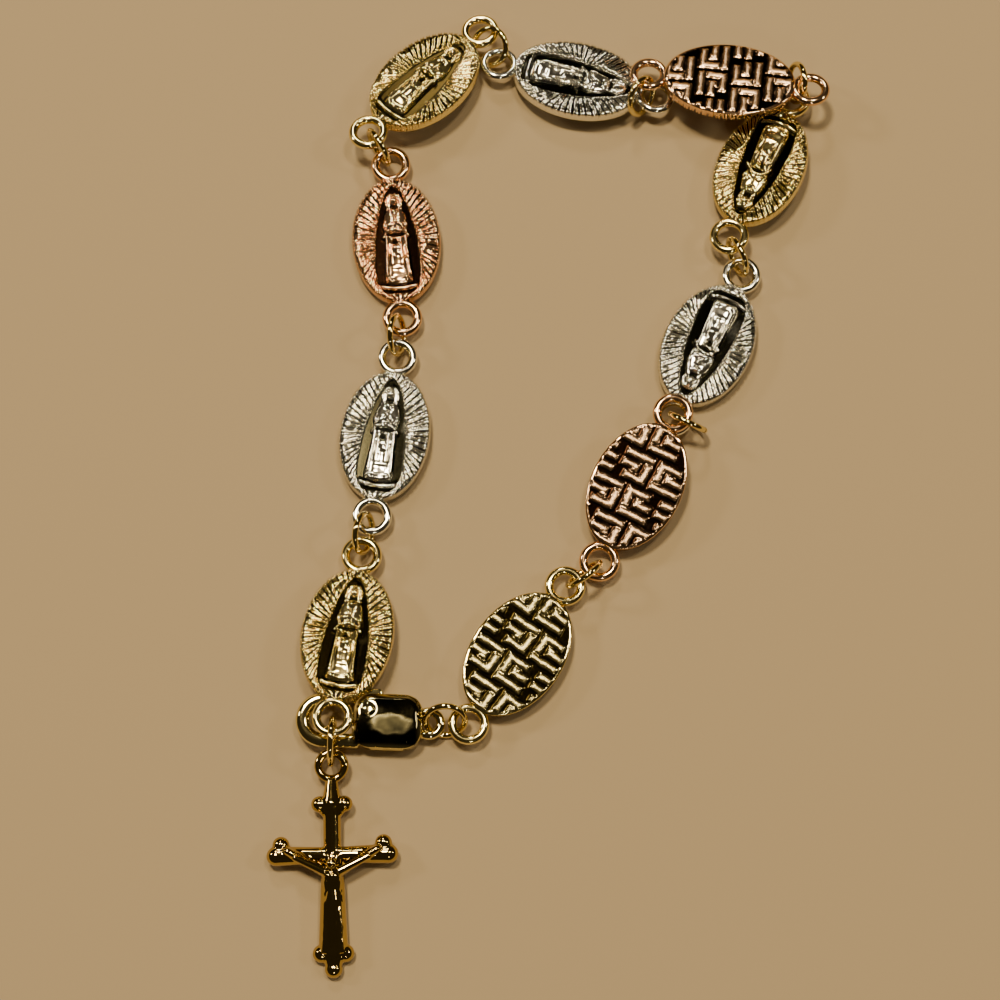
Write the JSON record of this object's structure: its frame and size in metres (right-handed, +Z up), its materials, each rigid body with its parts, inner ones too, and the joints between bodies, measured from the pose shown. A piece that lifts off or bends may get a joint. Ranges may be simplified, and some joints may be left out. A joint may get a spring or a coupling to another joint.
{
  "type": "rosary bracelet",
  "caption": "Rosary bracelet of oval cast medals joined by jump rings, closed by a lobster clasp that carries a small crucifix, lying flat.",
  "frame": {"origin": "centre of the bracelet's outline in plan, on the surface that it lies on", "axes": "+Y from the crucifix's foot to the far end of the loop, +X to the right as the picture shows it, +Z up"},
  "size_m": [0.0508, 0.0895, 0.0046],
  "materials": {
    "cast_gold": "gold-plated cast relief, dark in the recesses",
    "cast_silver": "silver-plated cast relief, dark in the recesses",
    "cast_rose": "rose-gold-plated cast relief, dark in the recesses",
    "ring_gold": "polished gold-plated wire",
    "clasp_gold": "polished gold plate",
    "crucifix_gold": "polished gold plate"
  },
  "bodies": {
    "bracelet": {"medal_01": "cast_gold", "medal_02": "cast_silver", "medal_03": "cast_rose", "medal_04": "cast_gold", "medal_05": "cast_silver", "medal_06": "cast_rose", "medal_07": "cast_gold", "medal_08": "cast_silver", "medal_09": "cast_rose", "medal_10": "cast_gold", "jump_ring_01": "ring_gold", "jump_ring_02": "ring_gold", "jump_ring_03": "ring_gold", "jump_ring_04": "ring_gold", "jump_ring_05": "ring_gold", "jump_ring_06": "ring_gold", "jump_ring_07": "ring_gold", "jump_ring_08": "ring_gold", "jump_ring_09": "ring_gold", "clasp_ring": "ring_gold", "crucifix_ring": "ring_gold", "clasp_body": "clasp_gold", "crucifix": "crucifix_gold"},
    "lever": {"clasp_lever": "clasp_gold"}
  },
  "joints": [
    {"name": "clasp_lever_hinge", "type": "hinge", "parent": "bracelet", "child": "lever", "pos_m": [-0.0167, -0.02181, 0.00135], "axis": [0, 0, 1], "range_deg": [0, 20], "stiffness_Nm_per_rad": 0.002, "springref_deg": -20.05}
  ]
}
